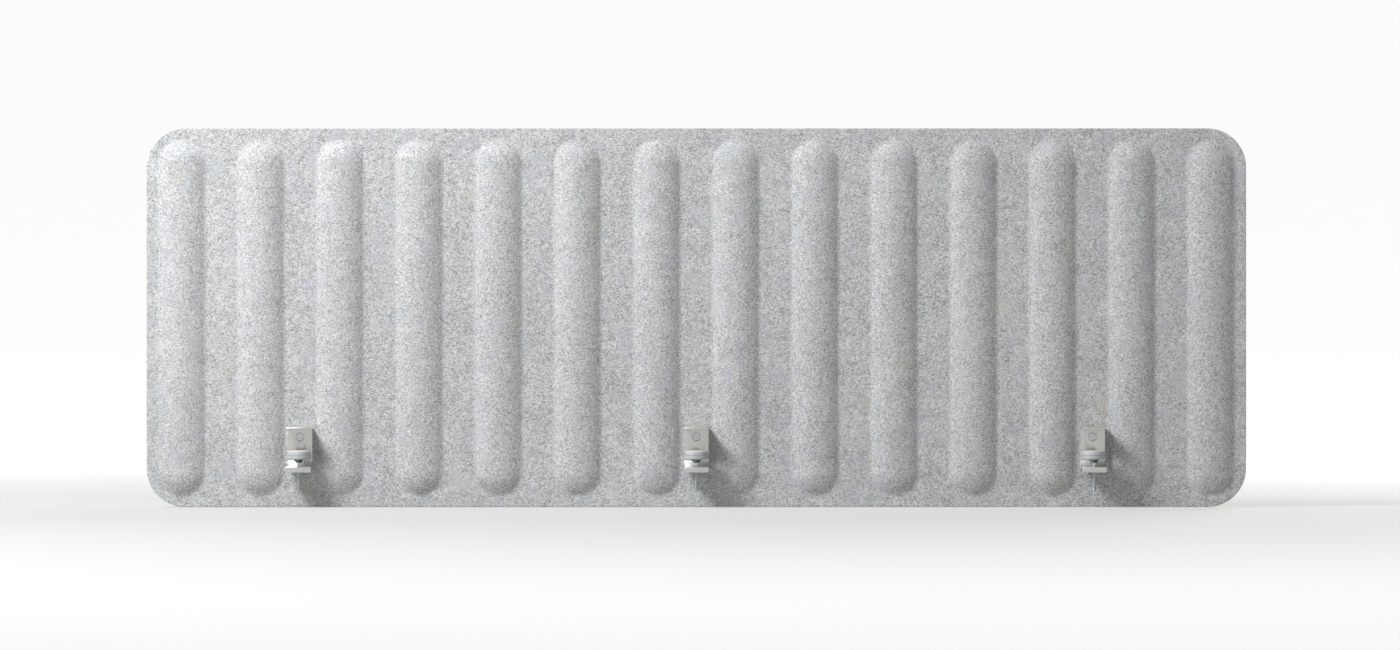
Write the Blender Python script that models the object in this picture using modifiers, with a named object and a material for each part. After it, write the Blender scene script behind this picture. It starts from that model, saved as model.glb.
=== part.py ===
# Desk privacy panel: one moulded felt sheet with upright ribs, held to a worktop's rear edge by
# three screw clamps. Metres, +Z up, X along the panel, ribs and clamps on the -Y side.
# The origin is the middle of the seat under the centre clamp's top jaw.

from math import asin, cos, pi, radians, sin, sqrt, tan

import bmesh
import bpy
from mathutils import Matrix, Vector

MM = 0.001
GAP = 0.3 * MM                      # left between two pieces that touch or nearly touch

# Felt panel
PANEL_WIDTH = 1800 * MM
PANEL_HEIGHT = 620 * MM
FELT_THICKNESS = 6 * MM
CORNER_RADIUS = 64 * MM
RIB_COUNT = 14                      # even, so that a valley lies on the centre line
RIB_HEIGHT = 10.4 * MM
RIM_MARGIN = 19.6 * MM              # flat felt between the panel's edge and the ribs
RIBS_OUTSIDE_CLAMP = 2              # ribs between a side clamp and the panel's end
LOWER_HOLE_HEIGHT = 86.6 * MM       # above the panel's lower edge

# Backing disc and its threaded inserts
DISC_DIAMETER = 43.4 * MM
DISC_THICKNESS = 5 * MM
DISC_SKIN = 1.7 * MM                # left behind the inserts' bores
DISC_BACK_ROUND = 1.6 * MM
DISC_FRONT_ROUND = 0.5 * MM
DISC_SIDE_CLEARANCE = 5.1 * MM      # from the disc to the rib on either side
BOSS_DIAMETER = 11.4 * MM
INSERT_WALL = 0.7 * MM
INSERT_LENGTH = 8 * MM
INSERT_RECESS = 0.2 * MM            # insert's mouth below the boss's end

# Countersunk fixing screws
SCREW_DIAMETER = 5 * MM
SCREW_HEAD_DIAMETER = 12.4 * MM
SCREW_HEAD_RIM = 0.9 * MM
SCREW_HALF_ANGLE = radians(41)
SCREW_RECESS = 0.2 * MM             # head below the desk side of the bracket
SCREW_SPACING = 28.8 * MM
UPPER_SCREW_DROP = 13.2 * MM        # below the jaw's underside
SCREW_KEY = 4 * MM                  # across the flats
SCREW_KEY_DEPTH = 2.6 * MM
COUNTERSINK_CLEARANCE = 0.4 * MM

# Bracket, a hollow extrusion cut to length
BRACKET_WIDTH = 40 * MM
WALL = 2.5 * MM
SEAT_DEPTH = 39.6 * MM              # from the desk edge to the jaw's tip
THROAT_HEIGHT = 61.4 * MM           # jaw's underside to the arm's top
ARM_HEIGHT = 9.5 * MM
BEND_ANGLE = radians(40)
INNER_BEND_RUN = 10.5 * MM
OUTER_BEND_RUN = 18 * MM
RIB_TO_DESK_CLEARANCE = 0.5 * MM    # rib crowns behind the desk edge
OUTER_CORNER_RADIUS = 3 * MM
SMALL_RADIUS = 0.8 * MM

# Spindle
SPINDLE_DIAMETER = 8 * MM
SPINDLE_SETBACK = 28.8 * MM         # from the desk edge
SPINDLE_PROJECTION = 30.5 * MM      # below the arm
NECK_DIAMETER = 6 * MM
BALL_DIAMETER = 8 * MM
SPINDLE_KEY = 5 * MM
SPINDLE_KEY_DEPTH = 5 * MM
SPINDLE_CHAMFER = 1 * MM

# Swivel pad and collar
PAD_DROP = 34.5 * MM                # jaw's underside to the pad's top
PAD_DIAMETER = 40.5 * MM
PAD_HEIGHT = 14.9 * MM
PAD_BAND_HEIGHT = 6 * MM
PAD_STEP = 0.9 * MM                 # cap's side inside the band's
PAD_CAP_WALL = 2.5 * MM
PAD_CAP_TOP = 3.4 * MM
PAD_FLAT_DIAMETER = 14 * MM
PAD_CROWN = 1.3 * MM
PAD_ROUND = 2.2 * MM
PAD_DRAFT = 0.35 * MM
BALL_HEIGHT = 4.5 * MM              # ball's centre above the pad's underside
SOCKET_DIAMETER = 18 * MM
SOCKET_DEPTH = 4 * MM
COLLAR_DIAMETER = 14.8 * MM
COLLAR_FOOT_DIAMETER = 9.4 * MM
COLLAR_RISE = 1 * MM                # into the pad's socket
COLLAR_DROP = 5.5 * MM              # below the pad's underside
COLLAR_RIM = 1.6 * MM
COLLAR_FOOT = 0.5 * MM
EDGE_CHAMFER = 0.4 * MM

# Facets
CORNER_STEPS = 8
FILLET_STEPS = 3
RIB_ARC_STEPS = 3
RIB_END_STEPS = 8
TURN_STEPS = 24
SMALL_TURN_STEPS = 24
BALL_STEPS = 4

# Places that follow from the sizes above
VALLEY_WIDTH = DISC_DIAMETER + 2 * DISC_SIDE_CLEARANCE
RIB_WIDTH = (PANEL_WIDTH - 2 * RIM_MARGIN - (RIB_COUNT - 1) * VALLEY_WIDTH) / RIB_COUNT
RIB_PITCH = RIB_WIDTH + VALLEY_WIDTH
RIB_ARC_RADIUS = ((RIB_WIDTH / 2) ** 2 + RIB_HEIGHT ** 2) / (2 * RIB_HEIGHT)
SIDE_CLAMP_X = (RIB_COUNT / 2 - RIBS_OUTSIDE_CLAMP) * RIB_PITCH
STATIONS = {"left": -SIDE_CLAMP_X, "centre": 0.0, "right": SIDE_CLAMP_X}

BOX_DEPTH = RIB_HEIGHT - GAP + RIB_TO_DESK_CLEARANCE
DESK_EDGE_Y = SEAT_DEPTH / 2
BRACKET_BACK_Y = DESK_EDGE_Y + BOX_DEPTH
FELT_FRONT_Y = BRACKET_BACK_Y + GAP
DISC_FRONT_Y = FELT_FRONT_Y + FELT_THICKNESS + GAP
UPPER_SCREW_Z = -UPPER_SCREW_DROP
LOWER_SCREW_Z = UPPER_SCREW_Z - SCREW_SPACING
PANEL_BOTTOM_Z = LOWER_SCREW_Z - LOWER_HOLE_HEIGHT
PANEL_CENTRE_Z = PANEL_BOTTOM_Z + PANEL_HEIGHT / 2
SCREW_HEIGHTS = {"upper": UPPER_SCREW_Z, "lower": LOWER_SCREW_Z}

HOLE_DIAMETER = BOSS_DIAMETER + 2 * GAP
INSERT_BORE = SCREW_DIAMETER + 2 * GAP
INSERT_DIAMETER = INSERT_BORE + 2 * INSERT_WALL
SCREW_HEAD_Y = DESK_EDGE_Y + SCREW_RECESS
SCREW_TIP_Y = DISC_FRONT_Y + DISC_THICKNESS - DISC_SKIN - GAP
SCREW_LENGTH = SCREW_TIP_Y - SCREW_HEAD_Y
SPINDLE_Y = DESK_EDGE_Y - SPINDLE_SETBACK
ARM_BOTTOM_Z = -THROAT_HEIGHT - ARM_HEIGHT
PAD_BOTTOM_Z = -PAD_DROP - PAD_HEIGHT
SPINDLE_TIP = ARM_BOTTOM_Z - SPINDLE_PROJECTION - PAD_BOTTOM_Z
THREAD_START = -THROAT_HEIGHT - PAD_BOTTOM_Z + GAP

# Local X, Y, Z of a piece that faces the desk: along the panel, up, and out of its front
FACING_DESK = Matrix.Rotation(pi / 2, 4, "X")
# The bracket's section: local X runs from the felt to the desk, local Y up, and Z along the panel
ALONG_PANEL = Matrix(((0, 0, -1, 0), (-1, 0, 0, 0), (0, 1, 0, 0), (0, 0, 0, 1)))

for old in list(bpy.data.objects):
    bpy.data.objects.remove(old)
parts = bpy.data.collections.new("desk_privacy_panel")
cutters = bpy.data.collections.new("cutters")
bpy.context.scene.collection.children.link(parts)
bpy.context.scene.collection.children.link(cutters)


def material(name, colour, roughness, metallic=0.0):
    made = bpy.data.materials.new(name)
    made.use_nodes = True
    shader = made.node_tree.nodes["Principled BSDF"]
    shader.inputs["Base Color"].default_value = (*colour, 1.0)
    shader.inputs["Roughness"].default_value = roughness
    shader.inputs["Metallic"].default_value = metallic
    return made


def part(name, mesh, finish, matrix):
    made = bpy.data.objects.new(name, mesh)
    made.matrix_world = matrix
    made.data.materials.append(finish)
    parts.objects.link(made)
    return made


def cutter(name, mesh, matrix):
    made = bpy.data.objects.new(name, mesh)
    made.matrix_world = matrix
    made.hide_render = True
    made.display_type = "WIRE"
    cutters.objects.link(made)
    return made


def combine(target, operation, tool):
    boolean = target.modifiers.new(f"{operation.lower()} {tool.name}", "BOOLEAN")
    boolean.operation = operation
    boolean.solver = "EXACT"
    boolean.object = tool


def mesh_from(bm, name):
    mesh = bpy.data.meshes.new(name)
    bm.to_mesh(mesh)
    bm.free()
    return mesh


def cylinder_mesh(name, diameter, low, high, steps):
    """A cylinder, or a prism when it has few sides, from low to high along local Z. It is turned
    by half a side, so that its edges keep off the seams of the turned piece it joins."""
    bm = bmesh.new()
    bmesh.ops.create_cone(bm, cap_ends=True, segments=steps, radius1=diameter / 2,
                          radius2=diameter / 2, depth=high - low)
    bmesh.ops.rotate(bm, verts=bm.verts, matrix=Matrix.Rotation(pi / steps, 3, "Z"))
    bmesh.ops.translate(bm, verts=bm.verts, vec=(0, 0, (low + high) / 2))
    return mesh_from(bm, name)


def key_mesh(name, across_flats, low, high):
    """A hexagonal prism for a key's socket."""
    return cylinder_mesh(name, across_flats / cos(pi / 6), low, high, 6)


def profile_mesh(name, points, closed):
    """An edge chain of (radius, height) points, which a Screw modifier turns about local Z."""
    bm = bmesh.new()
    chain = [bm.verts.new((radius, 0, height)) for radius, height in points]
    for start, end in zip(chain, chain[1:]):
        bm.edges.new((start, end))
    if closed:
        bm.edges.new((chain[-1], chain[0]))
    return mesh_from(bm, name)


def turn(target, steps):
    screw = target.modifiers.new("turn", "SCREW")
    screw.steps = steps
    screw.render_steps = steps
    screw.use_merge_vertices = True
    screw.merge_threshold = 1e-6
    screw.use_smooth_shade = True


def turned_part(name, points, finish, matrix, steps, closed=False):
    made = part(name, profile_mesh(name, points, closed), finish, matrix)
    turn(made, steps)
    return made


def arc(centre, radius, start, end, steps):
    """Points on a circle from one angle to another, both included."""
    angles = [start + (end - start) * step / steps for step in range(steps + 1)]
    return [(centre[0] + radius * cos(angle), centre[1] + radius * sin(angle)) for angle in angles]


def filleted(corners, steps):
    """A closed outline through (x, y, radius) corners, with each corner rounded to its radius."""
    outline = []
    for index, (x, y, radius) in enumerate(corners):
        here = Vector((x, y))
        if radius == 0:
            outline.append(here)
            continue
        before = (Vector(corners[index - 1][:2]) - here).normalized()
        after = (Vector(corners[(index + 1) % len(corners)][:2]) - here).normalized()
        half = before.angle(after) / 2
        centre = here + (before + after).normalized() * radius / sin(half)
        first = here + before * radius / tan(half) - centre
        sweep = -first.angle_signed(here + after * radius / tan(half) - centre)
        for step in range(steps + 1):
            outline.append(centre + Matrix.Rotation(sweep * step / steps, 2) @ first)
    return outline


def plate_mesh(name, outlines, low, high):
    """A flat plate between two heights; outlines inside the first are its openings."""
    curve = bpy.data.curves.new(name, "CURVE")
    curve.dimensions = "2D"
    curve.fill_mode = "BOTH"
    curve.extrude = (high - low) / 2
    for outline in outlines:
        spline = curve.splines.new("POLY")
        spline.points.add(len(outline) - 1)
        for point, (x, y) in zip(spline.points, outline):
            point.co = (x, y, 0, 1)
        spline.use_cyclic_u = True
    holder = bpy.data.objects.new(name, curve)
    bpy.context.scene.collection.objects.link(holder)
    bpy.context.view_layer.update()
    evaluated = holder.evaluated_get(bpy.context.evaluated_depsgraph_get())
    mesh = bpy.data.meshes.new_from_object(evaluated)
    bpy.data.objects.remove(holder)
    bm = bmesh.new()
    bm.from_mesh(mesh)
    bmesh.ops.remove_doubles(bm, verts=bm.verts, dist=1e-6)
    bmesh.ops.dissolve_degenerate(bm, dist=1e-6, edges=bm.edges)
    bmesh.ops.translate(bm, verts=bm.verts, vec=(0, 0, (low + high) / 2))
    bm.to_mesh(mesh)
    bm.free()
    return mesh


def rib_row_mesh(name, arc_radius, base, depth):
    """All the ribs' domed bodies: a round-backed bar with domed ends, from its arc down to the
    base plane and then straight back by depth. Local Z points out of the panel's front."""
    arc_centre = RIB_HEIGHT - RIB_ARC_RADIUS
    half_width = sqrt(arc_radius ** 2 - (base - arc_centre) ** 2)
    reach = asin(half_width / arc_radius)
    end_y = PANEL_HEIGHT / 2 - RIM_MARGIN - RIB_WIDTH / 2
    bm = bmesh.new()
    angles = [reach * step / RIB_ARC_STEPS for step in range(RIB_ARC_STEPS + 1)]
    chain = [bm.verts.new((arc_radius * sin(a), end_y, arc_centre + arc_radius * cos(a)))
             for a in angles]
    section = chain + [bm.edges.new(pair) for pair in zip(chain, chain[1:])]
    for side in (1, -1):
        spun = bmesh.ops.spin(bm, geom=section, cent=(0, side * end_y, 0), axis=(0, 0, 1),
                              angle=pi, steps=RIB_END_STEPS)
        edges = [item for item in spun["geom_last"] if isinstance(item, bmesh.types.BMEdge)]
        grown = bmesh.ops.extrude_edge_only(bm, edges=edges)
        section = [item for item in grown["geom"] if not isinstance(item, bmesh.types.BMFace)]
        moved = [item for item in section if isinstance(item, bmesh.types.BMVert)]
        bmesh.ops.translate(bm, verts=moved, vec=(0, -2 * side * end_y, 0))
    bmesh.ops.remove_doubles(bm, verts=bm.verts, dist=1e-6)
    rim = [edge for edge in bm.edges if edge.is_boundary]
    skirt = bmesh.ops.extrude_edge_only(bm, edges=rim)
    lowered = [item for item in skirt["geom"] if isinstance(item, bmesh.types.BMVert)]
    bmesh.ops.translate(bm, verts=lowered, vec=(0, 0, -depth))
    bmesh.ops.contextual_create(bm, geom=[edge for edge in bm.edges if edge.is_boundary])
    bmesh.ops.recalc_face_normals(bm, faces=bm.faces)
    first_rib = bm.verts[:] + bm.edges[:] + bm.faces[:]
    for index in range(1, RIB_COUNT):
        copied = bmesh.ops.duplicate(bm, geom=first_rib)
        verts = [item for item in copied["geom"] if isinstance(item, bmesh.types.BMVert)]
        bmesh.ops.translate(bm, verts=verts, vec=(index * RIB_PITCH, 0, 0))
    first_x = -(RIB_COUNT - 1) / 2 * RIB_PITCH
    bmesh.ops.translate(bm, verts=bm.verts, vec=(first_x, 0, 0))
    return mesh_from(bm, name)


def felt_panel(finish):
    """Moulded sheet: flat felt with ribs pushed out of its front, hollow behind."""
    place = Matrix.Translation((0, FELT_FRONT_Y, PANEL_CENTRE_Z)) @ FACING_DESK
    x, y = PANEL_WIDTH / 2, PANEL_HEIGHT / 2
    corners = [(x, y, CORNER_RADIUS), (-x, y, CORNER_RADIUS),
               (-x, -y, CORNER_RADIUS), (x, -y, CORNER_RADIUS)]
    sheet = plate_mesh("felt_panel", [filleted(corners, CORNER_STEPS)], -FELT_THICKNESS, 0)
    panel = part("felt_panel", sheet, finish, place)
    ribs = rib_row_mesh("ribs", RIB_ARC_RADIUS, 0, FELT_THICKNESS / 2)
    combine(panel, "UNION", cutter("ribs", ribs, place))
    hollows = rib_row_mesh("rib_hollows", RIB_ARC_RADIUS - FELT_THICKNESS, -FELT_THICKNESS,
                           FELT_THICKNESS)
    combine(panel, "DIFFERENCE", cutter("rib_hollows", hollows, place))
    hole = cylinder_mesh("boss_hole", HOLE_DIAMETER, -2 * FELT_THICKNESS, FELT_THICKNESS,
                         SMALL_TURN_STEPS)
    for side, station in STATIONS.items():
        for row, height in SCREW_HEIGHTS.items():
            at = Matrix.Translation((station, FELT_FRONT_Y, height)) @ FACING_DESK
            combine(panel, "DIFFERENCE", cutter(f"{side}_{row}_boss_hole", hole, at))


def bracket_outlines():
    """The extrusion's section: its outside, then its chambers. X runs from the felt face towards
    the desk, Y is the height above the jaw's underside."""
    tip = BOX_DEPTH + SEAT_DEPTH
    slope = tan(BEND_ANGLE)
    slanted_wall = WALL / cos(BEND_ANGLE)
    inner_start = -THROAT_HEIGHT + INNER_BEND_RUN * slope
    outer_start = ARM_BOTTOM_Z + OUTER_BEND_RUN * slope
    inner_bend = BOX_DEPTH + INNER_BEND_RUN
    outside = [(0, WALL, OUTER_CORNER_RADIUS), (0, outer_start, SMALL_RADIUS),
               (OUTER_BEND_RUN, ARM_BOTTOM_Z, SMALL_RADIUS), (tip, ARM_BOTTOM_Z, SMALL_RADIUS),
               (tip, -THROAT_HEIGHT, SMALL_RADIUS), (inner_bend, -THROAT_HEIGHT, 0),
               (BOX_DEPTH, inner_start, 0), (BOX_DEPTH, 0, SMALL_RADIUS),
               (tip, 0, SMALL_RADIUS), (tip, WALL, SMALL_RADIUS)]

    # The upright's chambers lie between webs that carry the screws
    left, right = WALL, BOX_DEPTH - WALL
    bend_web_top = inner_start
    levels = [0, UPPER_SCREW_Z, LOWER_SCREW_Z, bend_web_top - WALL / 2]
    uprights = []
    for index, (above, below) in enumerate(zip(levels, levels[1:])):
        top = above - (WALL / 2 if index else 0)
        bottom = below + WALL / 2
        uprights.append([(left, top), (left, bottom), (right, bottom), (right, top)])

    # The bend's chamber runs between the slanted walls, from the bend web to the arm's web
    bend_web_bottom = bend_web_top - WALL
    web_left = inner_bend - WALL
    upper = inner_start - slanted_wall
    lower = outer_start + slanted_wall
    bend = [((lower - bend_web_bottom) / slope, bend_web_bottom),
            (web_left, max(lower - web_left * slope, ARM_BOTTOM_Z + WALL)),
            (web_left, upper - (web_left - BOX_DEPTH) * slope),
            (BOX_DEPTH + (upper - bend_web_bottom) / slope, bend_web_bottom)]
    arm_top, arm_bottom = -THROAT_HEIGHT - WALL, ARM_BOTTOM_Z + WALL
    arm = [(inner_bend, arm_top), (inner_bend, arm_bottom), (tip - WALL, arm_bottom),
           (tip - WALL, arm_top)]
    return [filleted(outside, FILLET_STEPS)] + uprights + [bend, arm]


def screw_points(clearance, mouth):
    """Half-section of a countersunk screw or, with a clearance and a mouth, of its hole."""
    head, shank = SCREW_HEAD_DIAMETER / 2 + clearance, SCREW_DIAMETER / 2 + clearance
    cone_end = -SCREW_HEAD_RIM - (head - shank) / tan(SCREW_HALF_ANGLE)
    return [(0, mouth), (head, mouth), (head, -SCREW_HEAD_RIM), (shank, cone_end),
            (shank, -SCREW_LENGTH), (0, -SCREW_LENGTH)]


def bracket(side, station, section, finish):
    place = Matrix.Translation((station, BRACKET_BACK_Y, 0)) @ ALONG_PANEL
    made = part(f"{side}_bracket", section, finish, place)
    hole = profile_mesh("screw_hole", screw_points(COUNTERSINK_CLEARANCE, WALL), False)
    for row, height in SCREW_HEIGHTS.items():
        at = Matrix.Translation((station, SCREW_HEAD_Y, height)) @ FACING_DESK
        tool = cutter(f"{side}_{row}_screw_hole", hole, at)
        turn(tool, SMALL_TURN_STEPS)
        combine(made, "DIFFERENCE", tool)
    bore = cylinder_mesh("spindle_bore", SPINDLE_DIAMETER + 2 * GAP, -2 * ARM_HEIGHT, ARM_HEIGHT,
                         SMALL_TURN_STEPS)
    at = Matrix.Translation((station, SPINDLE_Y, -THROAT_HEIGHT))
    combine(made, "DIFFERENCE", cutter(f"{side}_spindle_bore", bore, at))


def fixing_screw(side, row, at, finish):
    points = screw_points(0, 0)
    head = SCREW_HEAD_DIAMETER / 2
    points[1:2] = [(head - EDGE_CHAMFER / 2, 0), (head, -EDGE_CHAMFER / 2)]
    shank = SCREW_DIAMETER / 2
    points[-2:-1] = [(shank, EDGE_CHAMFER - SCREW_LENGTH), (shank - EDGE_CHAMFER, -SCREW_LENGTH)]
    made = turned_part(f"{side}_{row}_screw", points, finish, at, SMALL_TURN_STEPS)
    key = key_mesh("screw_key", SCREW_KEY, -SCREW_KEY_DEPTH, SCREW_KEY_DEPTH)
    combine(made, "DIFFERENCE", cutter(f"{side}_{row}_screw_key", key, at))


def backing_disc(side, station, finish):
    """Round plate behind the felt; its two bosses pass through the felt and hold the inserts."""
    radius = DISC_DIAMETER / 2
    back = arc((radius - DISC_BACK_ROUND, DISC_BACK_ROUND - DISC_THICKNESS), DISC_BACK_ROUND,
               0, -pi / 2, FILLET_STEPS)
    points = [(0, 0), (radius - DISC_FRONT_ROUND, 0), (radius, -DISC_FRONT_ROUND), *back,
              (0, -DISC_THICKNESS)]
    middle = (UPPER_SCREW_Z + LOWER_SCREW_Z) / 2
    at = Matrix.Translation((station, DISC_FRONT_Y, middle)) @ FACING_DESK
    made = turned_part(f"{side}_backing_disc", points, finish, at, TURN_STEPS)
    boss_end = DISC_FRONT_Y - FELT_FRONT_Y
    bore_end = DISC_SKIN - DISC_THICKNESS
    boss = cylinder_mesh("boss", BOSS_DIAMETER, -DISC_THICKNESS / 2, boss_end, SMALL_TURN_STEPS)
    bore = cylinder_mesh("insert_bore", INSERT_DIAMETER + 2 * GAP, bore_end, 2 * boss_end,
                         SMALL_TURN_STEPS)
    for row, height in SCREW_HEIGHTS.items():
        at = Matrix.Translation((station, DISC_FRONT_Y, height)) @ FACING_DESK
        combine(made, "UNION", cutter(f"{side}_{row}_boss", boss, at))
        combine(made, "DIFFERENCE", cutter(f"{side}_{row}_insert_bore", bore, at))


def threaded_insert(side, row, station, height, finish):
    outer, inner = INSERT_DIAMETER / 2, INSERT_BORE / 2
    points = [(outer, 0), (outer, -INSERT_LENGTH), (inner, -INSERT_LENGTH), (inner, 0)]
    mouth = Matrix.Translation((station, FELT_FRONT_Y + INSERT_RECESS, height))
    turned_part(f"{side}_{row}_insert", points, finish, mouth @ FACING_DESK, SMALL_TURN_STEPS,
                closed=True)


def spindle(side, at, finish):
    """Threaded rod, shown plain, with a ball on its neck above and a key socket in its foot."""
    ball, neck, rod = BALL_DIAMETER / 2, NECK_DIAMETER / 2, SPINDLE_DIAMETER / 2
    neck_angle = -pi / 2 + asin(neck / ball)
    points = arc((0, BALL_HEIGHT), ball, pi / 2, neck_angle, BALL_STEPS)
    points[0] = (0, BALL_HEIGHT + ball)
    points += [(neck, THREAD_START), (rod, THREAD_START - (rod - neck)),
               (rod, SPINDLE_TIP + SPINDLE_CHAMFER), (rod - SPINDLE_CHAMFER, SPINDLE_TIP),
               (0, SPINDLE_TIP)]
    made = turned_part(f"{side}_spindle", points, finish, at, SMALL_TURN_STEPS)
    key = key_mesh("spindle_key", SPINDLE_KEY, SPINDLE_TIP - SPINDLE_KEY_DEPTH,
                   SPINDLE_TIP + SPINDLE_KEY_DEPTH)
    combine(made, "DIFFERENCE", cutter(f"{side}_spindle_key", key, at))


def swivel_collar(side, at, finish):
    """Conical collar that turns on the spindle's neck and carries the pad."""
    outer, foot, bore = COLLAR_DIAMETER / 2, COLLAR_FOOT_DIAMETER / 2, NECK_DIAMETER / 2 + GAP
    points = [(outer - EDGE_CHAMFER, COLLAR_RISE), (outer, COLLAR_RISE - EDGE_CHAMFER),
              (outer, -COLLAR_RIM), (foot, COLLAR_FOOT - COLLAR_DROP), (foot, -COLLAR_DROP),
              (bore, -COLLAR_DROP), (bore, COLLAR_RISE)]
    turned_part(f"{side}_swivel_collar", points, finish, at, TURN_STEPS, closed=True)


def pad_cup(side, at, finish):
    """Lower half of the pad: the wide band, the spigot for the cap and the ball's socket."""
    band = PAD_DIAMETER / 2
    spigot = band - PAD_STEP - PAD_CAP_WALL - GAP
    spigot_top = PAD_HEIGHT - PAD_CAP_TOP - GAP
    mouth = SOCKET_DIAMETER / 2
    seat = arc((0, BALL_HEIGHT), BALL_DIAMETER / 2 + GAP, 0, pi / 2, BALL_STEPS)
    points = [(0, spigot_top), (spigot - EDGE_CHAMFER, spigot_top),
              (spigot, spigot_top - EDGE_CHAMFER), (spigot, PAD_BAND_HEIGHT),
              (band - EDGE_CHAMFER, PAD_BAND_HEIGHT), (band, PAD_BAND_HEIGHT - EDGE_CHAMFER),
              (band, EDGE_CHAMFER), (band - EDGE_CHAMFER, 0), (mouth, 0), (mouth, SOCKET_DEPTH),
              (BALL_DIAMETER / 2 + GAP, SOCKET_DEPTH), *seat[:-1],
              (0, BALL_HEIGHT + BALL_DIAMETER / 2 + GAP)]
    turned_part(f"{side}_pad_cup", points, finish, at, TURN_STEPS)


def pad_cap(side, at, finish):
    """Domed cover pressed over the cup; its flat middle meets the worktop."""
    outer = PAD_DIAMETER / 2 - PAD_STEP
    inner = outer - PAD_CAP_WALL
    ceiling = PAD_HEIGHT - PAD_CAP_TOP
    foot = PAD_BAND_HEIGHT + GAP
    shoulder = (outer - PAD_DRAFT - PAD_ROUND, PAD_HEIGHT - PAD_CROWN - PAD_ROUND)
    points = [(0, PAD_HEIGHT), (PAD_FLAT_DIAMETER / 2, PAD_HEIGHT),
              *arc(shoulder, PAD_ROUND, radians(80), 0, FILLET_STEPS),
              (outer, foot), (inner, foot), (inner, ceiling - EDGE_CHAMFER),
              (inner - EDGE_CHAMFER, ceiling), (0, ceiling)]
    turned_part(f"{side}_pad_cap", points, finish, at, TURN_STEPS)


felt = material("felt", (0.47, 0.48, 0.485), 0.95)
aluminium = material("aluminium", (0.62, 0.62, 0.61), 0.32, 1.0)
zinc_steel = material("zinc_steel", (0.55, 0.58, 0.60), 0.25, 1.0)
dark_steel = material("dark_steel", (0.16, 0.17, 0.17), 0.35, 1.0)
band_plastic = material("band_plastic", (0.50, 0.52, 0.54), 0.45)
cap_plastic = material("cap_plastic", (0.55, 0.55, 0.54), 0.55)
disc_plastic = material("disc_plastic", (0.63, 0.63, 0.63), 0.5)
black_insert = material("black_insert", (0.02, 0.02, 0.02), 0.4, 1.0)

felt_panel(felt)
for side, station in STATIONS.items():
    bracket_section = plate_mesh(f"{side}_bracket", bracket_outlines(),
                                 -BRACKET_WIDTH / 2, BRACKET_WIDTH / 2)
    bracket(side, station, bracket_section, aluminium)
    backing_disc(side, station, disc_plastic)
    for row, height in SCREW_HEIGHTS.items():
        threaded_insert(side, row, station, height, black_insert)
        screw_place = Matrix.Translation((station, SCREW_HEAD_Y, height)) @ FACING_DESK
        fixing_screw(side, row, screw_place, zinc_steel)
    spindle_place = Matrix.Translation((station, SPINDLE_Y, PAD_BOTTOM_Z))
    spindle(side, spindle_place, zinc_steel)
    swivel_collar(side, spindle_place, dark_steel)
    pad_cup(side, spindle_place, band_plastic)
    pad_cap(side, spindle_place, cap_plastic)
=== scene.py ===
import math

import bmesh
import bpy
from mathutils import Matrix, Vector


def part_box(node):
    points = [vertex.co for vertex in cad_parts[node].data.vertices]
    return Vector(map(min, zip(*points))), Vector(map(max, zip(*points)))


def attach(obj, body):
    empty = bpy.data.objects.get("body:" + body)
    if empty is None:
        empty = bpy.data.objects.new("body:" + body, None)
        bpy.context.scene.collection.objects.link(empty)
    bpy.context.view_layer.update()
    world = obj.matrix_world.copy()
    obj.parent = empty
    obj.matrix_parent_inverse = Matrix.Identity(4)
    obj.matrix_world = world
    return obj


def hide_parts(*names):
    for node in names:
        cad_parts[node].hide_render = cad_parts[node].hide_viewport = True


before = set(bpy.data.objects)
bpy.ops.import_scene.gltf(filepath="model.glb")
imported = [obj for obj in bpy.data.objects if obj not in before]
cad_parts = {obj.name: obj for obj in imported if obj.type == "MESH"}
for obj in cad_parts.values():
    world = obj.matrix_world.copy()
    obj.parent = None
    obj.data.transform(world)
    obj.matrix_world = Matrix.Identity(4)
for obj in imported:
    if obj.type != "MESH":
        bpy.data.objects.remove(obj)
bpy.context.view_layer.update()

mm = 0.001
sides = ["left", "centre", "right"]
rows = ["upper", "lower"]


class Wire:
    # a socket that can be added, multiplied and so on like a number
    def __init__(self, finish, socket):
        self.finish, self.socket = finish, socket

    def maths(self, operation, left, right):
        return self.finish.node("ShaderNodeMath", {"operation": operation}, {0: left, 1: right})

    def __add__(self, other):
        return self.maths("ADD", self, other)

    def __radd__(self, other):
        return self.maths("ADD", other, self)

    def __sub__(self, other):
        return self.maths("SUBTRACT", self, other)

    def __rsub__(self, other):
        return self.maths("SUBTRACT", other, self)

    def __mul__(self, other):
        return self.maths("MULTIPLY", self, other)

    def __rmul__(self, other):
        return self.maths("MULTIPLY", other, self)

    def between(self, low, high):
        # 0 below low, 1 above high, smooth in the middle
        return self.finish.node("ShaderNodeMapRange", {"interpolation_type": "SMOOTHSTEP"},
                                {"Value": self, "From Min": low, "From Max": high})

    def output(self, name):
        return Wire(self.finish, self.socket.node.outputs[name])


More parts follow.
